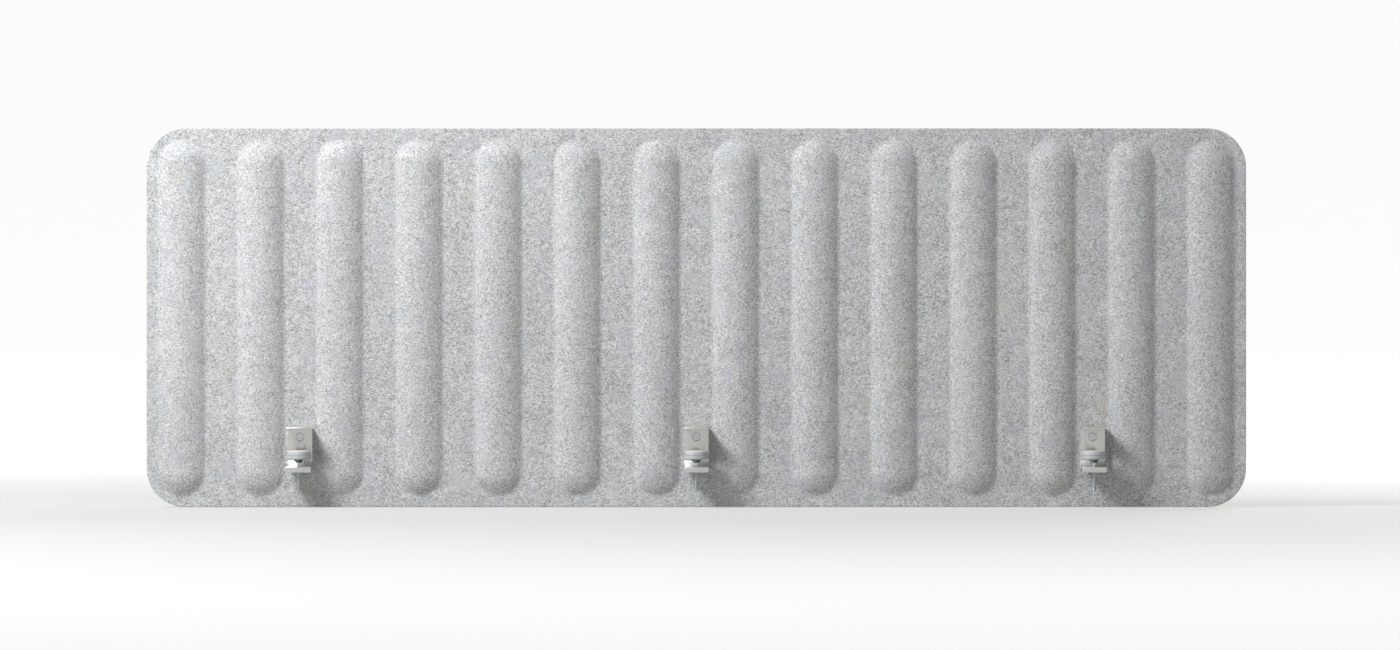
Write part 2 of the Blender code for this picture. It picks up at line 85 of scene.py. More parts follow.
class Finish:
    def __init__(self, name, colour, roughness, metallic=0.0, fixed=None):
        self.material = bpy.data.materials.new(name)
        self.material.use_nodes = True
        self.tree = self.material.node_tree
        self.shader = self.tree.nodes["Principled BSDF"]
        self.shader.inputs["Base Color"].default_value = (*colour, 1)
        self.shader.inputs["Roughness"].default_value = roughness
        self.shader.inputs["Metallic"].default_value = metallic
        for socket, value in (fixed or {}).items():
            self.shader.inputs[socket].default_value = value
        self.coords = self.node("ShaderNodeTexCoord", {}, {}).output("Object")

    def node(self, kind, settings, inputs):
        made = self.tree.nodes.new(kind)
        for key, value in settings.items():
            setattr(made, key, value)
        for key, value in inputs.items():
            if isinstance(value, Wire):
                self.tree.links.new(value.socket, made.inputs[key])
            else:
                made.inputs[key].default_value = value
        return Wire(self, next(socket for socket in made.outputs if socket.enabled))

    def grain(self, size, turn=(0, 0, 0), detail=2.0, roughness=0.6, shift=(0, 0, 0)):
        # noise whose blobs measure size along the turned axes
        place = self.node("ShaderNodeMapping", {"vector_type": "TEXTURE"},
                          {"Vector": self.coords, "Location": shift, "Rotation": turn,
                           "Scale": size})
        return self.node("ShaderNodeTexNoise", {},
                         {"Vector": place, "Scale": 1.0, "Detail": detail,
                          "Roughness": roughness})

    def mix(self, factor, low, high):
        low = low if isinstance(low, Wire) else (*low, 1)
        high = high if isinstance(high, Wire) else (*high, 1)
        return self.node("ShaderNodeMix", {"data_type": "RGBA"}, {0: factor, 6: low, 7: high})

    def facing(self, axis):
        # how squarely the surface faces along an axis of the piece, either way
        normal = self.node("ShaderNodeTexCoord", {}, {}).output("Normal")
        split = self.node("ShaderNodeSeparateXYZ", {}, {"Vector": normal}).output(axis)
        return self.node("ShaderNodeMath", {"operation": "ABSOLUTE"}, {0: split})

    def edges(self, radius):
        # 1 on rounded-off edges, 0 on flats
        rounded = self.node("ShaderNodeBevel", {"samples": 6}, {"Radius": radius})
        flat = self.node("ShaderNodeNewGeometry", {}, {}).output("Normal")
        same = self.node("ShaderNodeVectorMath", {"operation": "DOT_PRODUCT"},
                         {0: rounded, 1: flat}).output("Value")
        return (1 - same).between(0.01, 0.2)

    def bump(self, height, distance, strength=1.0):
        normal = self.node("ShaderNodeBump", {}, {"Height": height, "Distance": distance,
                                                  "Strength": strength})
        self.feed("Normal", normal)

    def feed(self, socket, wire):
        self.tree.links.new(wire.socket, self.shader.inputs[socket])


def onlyVerts(items):
    return [item for item in items if isinstance(item, bmesh.types.BMVert)]


def onlyEdges(items):
    return [item for item in items if isinstance(item, bmesh.types.BMEdge)]


def rounded(corners, steps):
    # (x, y, radius) corners of an open outline, each inner corner drawn as an arc
    outline = [Vector(corners[0][:2])]
    for before, (x, y, radius), after in zip(corners, corners[1:], corners[2:]):
        here = Vector((x, y))
        if radius == 0:
            outline.append(here)
            continue
        back = (Vector(before[:2]) - here).normalized()
        ahead = (Vector(after[:2]) - here).normalized()
        half = back.angle(ahead) / 2
        centre = here + (back + ahead).normalized() * radius / math.sin(half)
        first = here + back * radius / math.tan(half) - centre
        sweep = -first.angle_signed(here + ahead * radius / math.tan(half) - centre)
        for step in range(steps + 1):
            outline.append(centre + Matrix.Rotation(sweep * step / steps, 2) @ first)
    outline.append(Vector(corners[-1][:2]))
    return outline


def turned(bm, outline, steps, closed=False):
    # an outline of (radius, height) spun once round local Z
    chain = [bm.verts.new((radius, 0, height)) for radius, height in outline]
    links = [bm.edges.new(pair) for pair in zip(chain, chain[1:])]
    if closed:
        links.append(bm.edges.new((chain[-1], chain[0])))
    bmesh.ops.spin(bm, geom=chain + links, cent=(0, 0, 0), axis=(0, 0, 1),
                   angle=2 * math.pi, steps=steps, use_merge=True)
    bmesh.ops.remove_doubles(bm, verts=bm.verts, dist=1e-6)
    bmesh.ops.recalc_face_normals(bm, faces=bm.faces)


def growRings(bm, edges, rings):
    # carries an open end on through rings of (radius, height)
    for radius, height in rings:
        grown = bmesh.ops.extrude_edge_only(bm, edges=edges)["geom"]
        for vert in onlyVerts(grown):
            flat = Vector(vert.co.xy).normalized() * radius
            vert.co = (flat.x, flat.y, height)
        edges = onlyEdges(grown)
    return edges


def closeEnd(bm, edges):
    bmesh.ops.contextual_create(bm, geom=edges)


def keySocket(bm, edges, acrossFlats, mouth, floor):
    # joins an open round end to a hexagonal socket sunk into it
    hexagon = bmesh.ops.create_circle(bm, segments=6, radius=acrossFlats / math.sqrt(3),
                                      matrix=Matrix.Translation((0, 0, mouth)))["verts"]
    rim = list({edge for vert in hexagon for edge in vert.link_edges})
    bmesh.ops.bridge_loops(bm, edges=edges + rim)
    deep = bmesh.ops.extrude_edge_only(bm, edges=rim)["geom"]
    bmesh.ops.translate(bm, verts=onlyVerts(deep), vec=(0, 0, floor - mouth))
    closeEnd(bm, onlyEdges(deep))


def thread(bm, crest, depth, pitch, low, high, steps):
    # a right-hand thread between two heights; returns its open ends, low and high
    root = crest - depth
    profile = [(root, 0), (crest, 0.42 * pitch), (crest, 0.58 * pitch), (root, pitch)]
    start = low - 1.5 * pitch
    turns = math.ceil((high - low) / pitch) + 3
    chain = [bm.verts.new((radius, 0, start + rise)) for radius, rise in profile]
    links = [bm.edges.new(pair) for pair in zip(chain, chain[1:])]
    bmesh.ops.spin(bm, geom=chain + links, cent=(0, 0, 0), axis=(0, 0, 1),
                   dvec=(0, 0, pitch / steps), angle=2 * math.pi * turns, steps=steps * turns)
    bmesh.ops.remove_doubles(bm, verts=bm.verts, dist=4e-6)
    ends = []
    for height, direction in [(low, -1), (high, 1)]:
        geom = bm.verts[:] + bm.edges[:] + bm.faces[:]
        cut = bmesh.ops.bisect_plane(bm, geom=geom, dist=1e-7, plane_co=(0, 0, height),
                                     plane_no=(0, 0, direction), clear_outer=True)
        ends.append(onlyEdges(cut["geom_cut"]))
    return ends


def piece(name, bm, place, finish, body, node, crease=40):
    # finishes a mesh at its place, rides it on its body and hides the CAD node it stands for
    bmesh.ops.transform(bm, matrix=place, verts=bm.verts)
    if not any(edge.is_boundary for edge in bm.edges) and bm.calc_volume(signed=True) < 0:
        bmesh.ops.reverse_faces(bm, faces=bm.faces)
    mesh = bpy.data.meshes.new(name)
    bm.to_mesh(mesh)
    bm.free()
    mesh.shade_smooth()
    mesh.set_sharp_from_angle(angle=math.radians(crease))
    made = bpy.data.objects.new(name, mesh)
    bpy.context.scene.collection.objects.link(made)
    made.data.materials.append(finish)
    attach(made, body)
    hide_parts(node)
    return made


facingDesk = Matrix.Rotation(math.pi / 2, 4, "X")   # local Z out of the panel's front


panelLow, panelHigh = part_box("felt_panel")
panelCentre = (panelLow + panelHigh) / 2

studio = {
    "distance": 9.0,          # camera to panel
    "frameWidth": 2.289,      # width of the view at the panel
    "aimRight": 0.006,        # the view's centre from the panel's
    "aimDown": 0.012,
    "keyPlace": (-2.12, -1.51, 2.44),   # from the panel's centre
    "keySize": 1.1,
    "keyPower": 250,
    "keyColour": (0.95, 0.982, 1.0),
    "backPlace": (1.9, 2.3, 1.9),
    "backSize": 1.6,
    "backPower": 75,
    "backColour": (1, 0.99, 0.97),
    "skyColour": (1.0, 0.995, 0.985),
    "skyStrength": 0.39,
    "floorGlow": (0.46, 0.457, 0.449),
    "wallGlow": (0.90, 0.897, 0.892),
    "shade": (0.6, 3.4),      # painted shade: the floor's glow dims round the panel, ending between these
    "paintedShadeDepth": 0.68,
    "wallRise": (-0.1, 3),    # heights over which floor turns into wall
    "backReach": (-3, 11),    # the paper's painted glow grows paler towards the back
    "sink": 0.6 * mm,         # floor below the panel's lower edge
    "coveRadius": 24.0,
    "coveBend": 7.0,
    "coveHeight": 11.0,
    "bendSteps": 12,
    "coveSteps": 64,
}

cameraData = bpy.data.cameras.new("studioCamera")
cameraData.sensor_width = 36
cameraData.lens = cameraData.sensor_width * studio["distance"] / studio["frameWidth"]
cameraData.clip_end = 100
camera = bpy.data.objects.new("studioCamera", cameraData)
camera.location = (panelCentre.x + studio["aimRight"], panelLow.y - studio["distance"],
                   panelCentre.z - studio["aimDown"])
camera.rotation_euler = (math.pi / 2, 0, 0)
bpy.context.scene.collection.objects.link(camera)
bpy.context.scene.camera = camera
bpy.context.scene.view_settings.view_transform = "Standard"


def softBox(name, place, size, power, colour):
    light = bpy.data.lights.new(name, "AREA")
    light.size = size
    light.energy = power
    light.color = colour
    holder = bpy.data.objects.new(name, light)
    holder.location = panelCentre + Vector(place)
    holder.rotation_euler = (-Vector(place)).to_track_quat("-Z", "Y").to_euler()
    holder.visible_camera = False
    bpy.context.scene.collection.objects.link(holder)


for name in ("key", "back"):
    softBox(f"{name}Light", studio[f"{name}Place"], studio[f"{name}Size"], studio[f"{name}Power"],
            studio[f"{name}Colour"])

world = bpy.data.worlds.new("studioSky")
world.use_nodes = True
world.node_tree.nodes["Background"].inputs["Color"].default_value = (*studio["skyColour"], 1)
world.node_tree.nodes["Background"].inputs["Strength"].default_value = studio["skyStrength"]
bpy.context.scene.world = world

# one round cove: floor, bend and wall
bm = bmesh.new()
wallRadius = studio["coveRadius"] + studio["coveBend"]
turned(bm, rounded([(0, 0), (2, 0, 0), (wallRadius, 0, studio["coveBend"]),
                    (wallRadius, studio["coveHeight"])], studio["bendSteps"]),
       studio["coveSteps"])
bmesh.ops.translate(bm, verts=bm.verts, vec=(0, 0, panelLow.z - studio["sink"]))
coveMesh = bpy.data.meshes.new("studioCove")
bm.to_mesh(coveMesh)
bm.free()
coveMesh.shade_smooth()
floor = bpy.data.objects.new("studioCove", coveMesh)
bpy.context.scene.collection.objects.link(floor)
# the cove is no lamp but glows: painted light, dim on the floor with a painted shade round the
# panel, bright on the wall
paper = Finish("studioPaper", (0.1, 0.1, 0.1), 0.9, fixed={"Emission Strength": 1.0})
split = paper.node("ShaderNodeSeparateXYZ", {}, {"Vector": paper.coords})
reach = paper.node("ShaderNodeVectorMath", {"operation": "LENGTH"},
                   {0: paper.coords}).output("Value")
wall = split.output("Z").between(*studio["wallRise"])
pale = split.output("Y").between(*studio["backReach"]) + wall * 0.5
pale = pale + (1 - wall) * reach.between(*studio["shade"]) * studio["paintedShadeDepth"]
paper.feed("Emission Color", paper.mix(pale, studio["floorGlow"], studio["wallGlow"]))
floor.data.materials.append(paper.material)
print("studio ready")


feltLook = {
    "dark": (0.128, 0.13, 0.133),
    "light": (0.55, 0.55, 0.545),
    "beige": (0.375, 0.355, 0.325),
    "blue": (0.315, 0.327, 0.365),
    "tuftSize": (0.0032, 0.003, 0.0022),
    "hairSize": (0.0065, 0.0003, 0.00028),
    "strandSize": (0.011, 0.0012, 0.0011),
    "mottleSize": (0.028, 0.02, 0.028),
    "cloudSize": (0.30, 0.3, 0.30),
    "webGain": 3.1,           # how much each kind of fibre shows
    "tuftGain": 2.7,
    "hairGain": 0.8,
    "mottleGain": 0.4,
    "cloudGain": 0.2,
    "toneRange": (-0.4, 1.4),
    "tintRange": (0.52, 0.72),
    "tint": 0.5,
    "relief": 0.45 * mm,
}


def feltFinish(look):
    felt = Finish("heatherFelt", look["light"], 0.95,
                  fixed={"Sheen Weight": 0.12, "Sheen Roughness": 0.6,
                         "Specular IOR Level": 0.2})
    strands = [felt.grain(look["strandSize"], turn=(0, math.radians(angle), 0), detail=1.5,
                          shift=(angle * 0.01, 0, 0)) for angle in (15, 62, 108, 154)]
    web = (strands[0] + strands[1] + strands[2] + strands[3]) * 0.25 - 0.5
    tufts = felt.grain(look["tuftSize"], detail=3.0, roughness=0.75) - 0.5
    hairs = [felt.grain(look["hairSize"], turn=(0, math.radians(angle), 0), detail=1.0)
             for angle in (38, 131)]
    hair = hairs[0] + hairs[1] - 1
    mottle = felt.grain(look["mottleSize"], detail=2.0) - 0.5
    cloud = felt.grain(look["cloudSize"], detail=2.0) - 0.5
    tone = (0.5 + web * look["webGain"] + tufts * look["tuftGain"] + hair * look["hairGain"]
            + mottle * look["mottleGain"] + cloud * look["cloudGain"])
    grey = felt.mix(tone.between(*look["toneRange"]), look["dark"], look["light"])
    for tint, shift in (("beige", (3, 1, 2)), ("blue", (7, 4, 1))):
        patches = felt.grain(look["mottleSize"], detail=3.0, shift=shift)
        grey = felt.mix(patches.between(*look["tintRange"]) * look["tint"], grey, look[tint])
    # the cut edge shows the sheet's denser, darker middle
    edge = 1 - felt.facing("Y").between(0.25, 0.5)
    layers = felt.grain((0.02, 0.0006, 0.02), detail=2.0).between(0.35, 0.65)
    grey = felt.mix(edge * (0.2 + layers * 0.25), grey, look["dark"])
    felt.feed("Base Color", grey)
    felt.feed("Roughness", 0.9 + tufts * 0.2)
    felt.bump(web * 3.0 + tufts * 1.6 + hair * 0.5, look["relief"], 0.8)
    return felt.material


panel = {
    "thickness": 6 * mm,
    "cornerRadius": 64 * mm,
    "ribs": 14,
    "ribHeight": 10.4 * mm,
    "margin": 19.6 * mm,
    "valley": 53.6 * mm,
    "creaseRadius": 15 * mm,
    "apron": 1.5 * mm,        # flat ring round each rib and hole, twice this at the edge
    "arcSteps": 14,
    "creaseSteps": 7,
    "endSteps": 28,
    "cornerSteps": 20,
    "holeRadius": 6 * mm,
    "holeSteps": 40,
    "edgeRound": 0.9 * mm,
    "edgeSteps": 3,
}
panelWidth, panelHeight = panelHigh.x - panelLow.x, panelHigh.z - panelLow.z
ribWidth = (panelWidth - 2 * panel["margin"]
            - (panel["ribs"] - 1) * panel["valley"]) / panel["ribs"]
ribPitch = ribWidth + panel["valley"]
screwHeights = {row: sum(corner.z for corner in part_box(f"centre_{row}_screw")) / 2
                for row in rows}
stations = {side: sum(corner.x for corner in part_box(f"{side}_bracket")) / 2 for side in sides}


def ribOutline(sizes):
    # crown arc, then the small hollow curve that runs out onto the flat sheet
    height, crease = sizes["ribHeight"], sizes["creaseRadius"]
    arcRadius = ((ribWidth / 2) ** 2 + height ** 2) / (2 * height)
    arcCentre = height - arcRadius
    foot = math.sqrt((arcRadius + crease) ** 2 - (crease - arcCentre) ** 2)
    reach = math.atan2(foot, crease - arcCentre)
    outline = []
    for step in range(sizes["arcSteps"] + 1):
        angle = reach * step / sizes["arcSteps"]
        outline.append((arcRadius * math.sin(angle), arcCentre + arcRadius * math.cos(angle)))
    for step in range(1, sizes["creaseSteps"] + 1):
        angle = reach * (1 - step / sizes["creaseSteps"])
        outline.append((foot - crease * math.sin(angle), crease * (1 - math.cos(angle))))
    outline.append((foot + sizes["apron"], 0))
    return outline


def feltSheet(sizes, finish):
    bm = bmesh.new()
    endY = panelHeight / 2 - sizes["margin"] - ribWidth / 2
    chain = [bm.verts.new((x, endY, z)) for x, z in ribOutline(sizes)]
    section = chain + [bm.edges.new(pair) for pair in zip(chain, chain[1:])]
    for side in (1, -1):
        spun = bmesh.ops.spin(bm, geom=section, cent=(0, side * endY, 0), axis=(0, 0, 1),
                              angle=math.pi, steps=sizes["endSteps"])
        grown = bmesh.ops.extrude_edge_only(bm, edges=onlyEdges(spun["geom_last"]))["geom"]
        section = onlyVerts(grown) + onlyEdges(grown)
        bmesh.ops.translate(bm, verts=onlyVerts(grown), vec=(0, -2 * side * endY, 0))
    bmesh.ops.remove_doubles(bm, verts=bm.verts, dist=1e-6)
    rib = bm.verts[:] + bm.edges[:] + bm.faces[:]
    for index in range(1, sizes["ribs"]):
        copied = bmesh.ops.duplicate(bm, geom=rib)["geom"]
        bmesh.ops.translate(bm, verts=onlyVerts(copied), vec=(index * ribPitch, 0, 0))
    bmesh.ops.translate(bm, verts=bm.verts, vec=(-(sizes["ribs"] - 1) / 2 * ribPitch, 0, 0))
    # outer edge with its apron, and the holes with theirs
    x, y, corner = panelWidth / 2, panelHeight / 2, sizes["cornerRadius"]
    start = (x, 0, 0)
    outline = rounded([start, (x, y, corner), (-x, y, corner), (-x, -y, corner),
                       (x, -y, corner), start], sizes["cornerSteps"])[:-1]
    ring = [bm.verts.new((point.x, point.y, 0)) for point in outline]
    rim = [bm.edges.new((ring[index - 1], ring[index])) for index in range(len(ring))]
    fixedRims = set(rim)
    inner = bmesh.ops.extrude_edge_only(bm, edges=rim)["geom"]
    shrink = Matrix.Diagonal((1 - 2 * sizes["apron"] / x, 1 - 2 * sizes["apron"] / y, 1))
    for vert in onlyVerts(inner):
        vert.co = shrink @ vert.co
    for station in stations.values():
        for height in screwHeights.values():
            at = Matrix.Translation((station - panelCentre.x, height - panelCentre.z, 0))
            hole = bmesh.ops.create_circle(bm, segments=sizes["holeSteps"],
                                           radius=sizes["holeRadius"], matrix=at)
            holeRim = list({edge for vert in hole["verts"] for edge in vert.link_edges})
            wide = bmesh.ops.extrude_edge_only(bm, edges=holeRim)["geom"]
            grow = at @ Matrix.Scale(1 + sizes["apron"] / sizes["holeRadius"], 4) @ at.inverted()
            bmesh.ops.transform(bm, matrix=grow, verts=onlyVerts(wide))
            fixedRims.update(holeRim)
    gaps = [edge for edge in bm.edges if edge.is_boundary and edge not in fixedRims]
    bmesh.ops.triangle_fill(bm, use_beauty=True, edges=gaps, normal=(0, 0, 1))
    bmesh.ops.recalc_face_normals(bm, faces=bm.faces)
    if sum(face.normal.z for face in bm.faces) < 0:
        bmesh.ops.reverse_faces(bm, faces=bm.faces)
    frontY = panelHigh.y - sizes["thickness"]
    place = Matrix.Translation((panelCentre.x, frontY, panelCentre.z)) @ facingDesk
    made = piece("feltSheet", bm, place, finish, "panel", "felt_panel")
    solid = made.modifiers.new("thickness", "SOLIDIFY")
    solid.thickness = sizes["thickness"]
    solid.offset = -1
    solid.use_even_offset = True
    soft = made.modifiers.new("edges", "BEVEL")
    soft.width = sizes["edgeRound"]
    soft.segments = sizes["edgeSteps"]
    soft.limit_method = "ANGLE"
    soft.angle_limit = math.radians(60)


feltSheet(panel, feltFinish(feltLook))
print("felt sheet ready")


bracketLook = {
    "colour": (0.60, 0.595, 0.58),
    "cutColour": (0.80, 0.80, 0.79),
    "roughness": 0.36,
    "edgeRound": 0.28 * mm,
}


def bracketFinish(look):
    # extruded along X: fine die lines run that way, and the sawn ends are brighter
    metal = Finish("bracketAluminium", look["colour"], look["roughness"], 1.0,
                   fixed={"Anisotropic": 0.35})
    ends = metal.facing("X").between(0.6, 0.9)
    die = metal.grain((0.09, 0.00022, 0.00022), detail=2.0)
    saw = metal.grain((0.0004, 0.012, 0.00016), turn=(math.radians(62), 0, 0), detail=2.0)
    cloud = metal.grain((0.012, 0.012, 0.012), detail=3.0)
    worn = metal.edges(0.5 * mm) * cloud.between(0.3, 0.6)
    lines = metal.mix(ends, look["colour"], look["cutColour"])
    tint = metal.mix((die - 0.4) * 0.5 + (cloud - 0.5) * 0.4, (1, 1, 1), (0.86, 0.86, 0.85))
    shade = metal.node("ShaderNodeMix", {"data_type": "RGBA", "blend_type": "MULTIPLY"},
                       {0: 1.0, 6: lines, 7: tint})
    metal.feed("Base Color", metal.mix(worn * 0.6, shade, (0.85, 0.85, 0.84)))
    metal.feed("Roughness", look["roughness"] + (die - 0.5) * 0.22 + cloud * 0.08 - ends * 0.06
               - worn * 0.1)
    metal.bump(die * (1 - ends) + saw * ends * 0.8, 0.03 * mm, 0.5)
    return metal.material


def bracketPiece(side, look, finish):
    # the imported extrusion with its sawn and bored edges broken
    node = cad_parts[f"{side}_bracket"]
    bm = bmesh.new()
    bm.from_mesh(node.data)
    bmesh.ops.remove_doubles(bm, verts=bm.verts, dist=2e-6)
    bmesh.ops.dissolve_limit(bm, angle_limit=math.radians(1.5), use_dissolve_boundaries=False,
                             verts=bm.verts, edges=bm.edges)
    bmesh.ops.recalc_face_normals(bm, faces=bm.faces)
    sharp = [edge for edge in bm.edges if edge.is_manifold
             and edge.calc_face_angle() > math.radians(50)]
    bmesh.ops.bevel(bm, geom=sharp, offset=look["edgeRound"], offset_type="OFFSET", segments=2,
                    profile=0.5, affect="EDGES", clamp_overlap=True, material=-1)
    piece(f"{side}Bracket", bm, Matrix(), finish, "panel", node.name, 35)


metalLooks = {
    "brightZinc": ((0.58, 0.615, 0.64), 0.24),    # colour and roughness
    "darkZinc": ((0.17, 0.185, 0.18), 0.34),
    "blackInsert": ((0.022, 0.022, 0.023), 0.4),
}


def zincFinish(name, colour, roughness):
    zinc = Finish(name, colour, roughness, 1.0)
    patina = zinc.grain((0.003, 0.003, 0.004), detail=4.0)
    turning = zinc.grain((0.004, 0.004, 0.00012), detail=1.0)
    spots = zinc.grain((0.0009, 0.0009, 0.0009), detail=3.0, shift=(2, 0, 5)).between(0.6, 0.75)
    worn = zinc.edges(0.25 * mm) * patina.between(0.35, 0.6)
    dull = tuple(channel * 0.72 for channel in colour)
    bright = tuple(min(1, channel * 1.5) for channel in colour)
    shade = zinc.mix(patina.between(0.3, 0.7) * 0.6 + spots * 0.3, colour, dull)
    zinc.feed("Base Color", zinc.mix(worn * 0.7, shade, bright))
    zinc.feed("Roughness", roughness + patina * 0.14 + spots * 0.2 - worn * 0.08)
    zinc.bump(turning * 0.5 + spots, 0.02 * mm, 0.35)
    return zinc.material


screw = {
    "headRadius": 6.2 * mm,
    "rim": 0.9 * mm,
    "shankRadius": 2.5 * mm,
    "halfAngle": math.radians(41),
    "pitch": 0.8 * mm,
    "threadDepth": 0.42 * mm,
    "length": 20 * mm,
    "plain": 1.2 * mm,        # unthreaded below the head
    "chamfer": 0.5 * mm,
    "key": 4 * mm,
    "keyDepth": 2.6 * mm,
    "mouthRadius": 2.48 * mm,
    "round": 0.25 * mm,
    "shaftRound": 0.6 * mm,   # where the shank meets the cone
    "runOut": 0.3 * mm,
    "keyMouth": 0.15 * mm,
    "steps": 24,
}


def screwPiece(side, row, sizes, finish):
    bm = bmesh.new()
    flare = (sizes["headRadius"] - sizes["shankRadius"]) / math.tan(sizes["halfAngle"])
    cone = -sizes["rim"] - flare
    top, tip = cone - sizes["plain"], -sizes["length"]
    low, high = thread(bm, sizes["shankRadius"], sizes["threadDepth"], sizes["pitch"],
                       tip + sizes["chamfer"], top, sizes["steps"])
    low = growRings(bm, low, [(sizes["shankRadius"] - sizes["chamfer"], tip)])
    closeEnd(bm, low)
    head, rounding = sizes["headRadius"], sizes["round"]
    profile = rounded([(sizes["shankRadius"], top + sizes["runOut"]),
                       (sizes["shankRadius"], cone, sizes["shaftRound"]),
                       (head, -sizes["rim"], rounding), (head, 0, rounding),
                       (sizes["mouthRadius"], 0)], 4)
    high = growRings(bm, high, profile)
    keySocket(bm, high, sizes["key"], -sizes["keyMouth"], -sizes["keyDepth"])
    bmesh.ops.recalc_face_normals(bm, faces=bm.faces)
    height = screwHeights[row]
    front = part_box(f"{side}_{row}_screw")[0].y
    place = Matrix.Translation((stations[side], front, height)) @ facingDesk
    piece(f"{side}{row.title()}Screw", bm, place, finish, "panel",
          f"{side}_{row}_screw", 32)


spindle = {
    "radius": 4 * mm,
    "pitch": 1.25 * mm,
    "threadDepth": 0.68 * mm,
    "neck": 3 * mm,
    "ball": 4 * mm,
    "ballHeight": 4.5 * mm,   # above the pad's underside, like all heights here
    "threadTop": -11.7 * mm,
    "tip": -52 * mm,
    "chamfer": 1 * mm,
    "key": 5 * mm,
    "keyDepth": 5 * mm,
    "mouthRadius": 3.1 * mm,
    "runOut": 1 * mm,
    "keyMouth": 0.2 * mm,
    "ballSteps": 14,
    "steps": 24,
}


def spindlePiece(side, sizes, place, finish):
    bm = bmesh.new()
    radius = sizes["radius"]
    low, high = thread(bm, radius, sizes["threadDepth"], sizes["pitch"],
                       sizes["tip"] + sizes["chamfer"], sizes["threadTop"] - sizes["runOut"],
                       sizes["steps"])
    low = growRings(bm, low, [(radius - sizes["chamfer"], sizes["tip"]),
                              (sizes["mouthRadius"], sizes["tip"])])
    keySocket(bm, low, sizes["key"], sizes["tip"] + sizes["keyMouth"],
              sizes["tip"] + sizes["keyDepth"])
    neckAngle = -math.pi / 2 + math.asin(sizes["neck"] / sizes["ball"])
    ball = [(sizes["ball"] * math.cos(angle), sizes["ballHeight"] + sizes["ball"] * math.sin(angle))
            for angle in (neckAngle + (math.pi / 2 - neckAngle) * step / sizes["ballSteps"]
                          for step in range(sizes["ballSteps"]))]
    high = growRings(bm, high, [(sizes["neck"], sizes["threadTop"])] + ball)
    closeEnd(bm, high)
    bmesh.ops.recalc_face_normals(bm, faces=bm.faces)
    piece(f"{side}Spindle", bm, place, finish, f"{side}_spindle", f"{side}_spindle",
          32)


collar = {
    "radius": 7.4 * mm,
    "rise": 1 * mm,
    "rim": 1.6 * mm,
    "foot": 4.7 * mm,
    "footHeight": 0.5 * mm,
    "drop": 5.5 * mm,
    "bore": 3.3 * mm,
    "round": 0.3 * mm,
    "footRound": 0.2 * mm,
    "rimRound": 0.5 * mm,
    "steps": 48,
}


def collarPiece(side, sizes, place, finish):
    bm = bmesh.new()
    outline = rounded([(sizes["bore"], -sizes["drop"]),
                       (sizes["foot"], -sizes["drop"], sizes["round"]),
                       (sizes["foot"], sizes["footHeight"] - sizes["drop"], sizes["footRound"]),
                       (sizes["radius"], -sizes["rim"], sizes["rimRound"]),
                       (sizes["radius"], sizes["rise"], sizes["round"]),
                       (sizes["bore"], sizes["rise"])], 4)
    turned(bm, outline, sizes["steps"], closed=True)
    piece(f"{side}Collar", bm, place, finish, f"{side}_collar", f"{side}_swivel_collar")


cup = {
    "radius": 20.25 * mm,
    "band": 6 * mm,
    "spigotRadius": 16.55 * mm,
    "spigotTop": 11.2 * mm,
    "mouth": 9 * mm,
    "mouthDepth": 4 * mm,
    "ball": 4.3 * mm,
    "ballHeight": 4.5 * mm,
    "round": 0.9 * mm,
    "spigotRound": 0.4 * mm,
    "stepRound": 0.2 * mm,
    "bandRound": 0.6 * mm,
    "mouthRound": 0.3 * mm,
    "floorRound": 0.5 * mm,
    "ballSteps": 8,
    "steps": 64,
}


def cupPiece(side, sizes, place, finish):
    bm = bmesh.new()
    ball = [(sizes["ball"] * math.cos(angle), sizes["ballHeight"] + sizes["ball"] * math.sin(angle))
            for angle in (math.pi / 2 * step / sizes["ballSteps"]
                          for step in range(sizes["ballSteps"] + 1))]
    ball[-1] = (0, ball[-1][1])
    outline = rounded([(0, sizes["spigotTop"]),
                       (sizes["spigotRadius"], sizes["spigotTop"], sizes["spigotRound"]),
                       (sizes["spigotRadius"], sizes["band"], sizes["stepRound"]),
                       (sizes["radius"], sizes["band"], sizes["bandRound"]),
                       (sizes["radius"], 0, sizes["round"]),
                       (sizes["mouth"], 0, sizes["mouthRound"]),
                       (sizes["mouth"], sizes["mouthDepth"], sizes["floorRound"]),
                       (sizes["ball"], sizes["mouthDepth"])], 4)
    turned(bm, outline + ball, sizes["steps"])
    piece(f"{side}PadCup", bm, place, finish, f"{side}_pad", f"{side}_pad_cup")


cap = {
    "radius": 19.35 * mm,
    "foot": 6.3 * mm,
    "height": 14.9 * mm,
    "flat": 7 * mm,
    "crown": 1.3 * mm,
    "shoulder": 2.6 * mm,
    "draft": 0.35 * mm,
    "wall": 2.5 * mm,
    "ceiling": 11.5 * mm,
    "crownRound": 8 * mm,
    "footRound": 0.3 * mm,
    "ceilingRound": 0.5 * mm,
    "steps": 64,
}


def capPiece(side, sizes, place, finish):
    bm = bmesh.new()
    inner = sizes["radius"] - sizes["wall"]
    outline = rounded([(0, sizes["height"]), (sizes["flat"], sizes["height"], sizes["crownRound"]),
                       (sizes["radius"] - sizes["draft"], sizes["height"] - sizes["crown"],
                        sizes["shoulder"]),
                       (sizes["radius"], sizes["foot"], sizes["footRound"]),
                       (inner, sizes["foot"], sizes["footRound"]),
                       (inner, sizes["ceiling"], sizes["ceilingRound"]),
                       (0, sizes["ceiling"])], 6)
    turned(bm, outline, sizes["steps"])
    piece(f"{side}PadCap", bm, place, finish, f"{side}_pad", f"{side}_pad_cap")


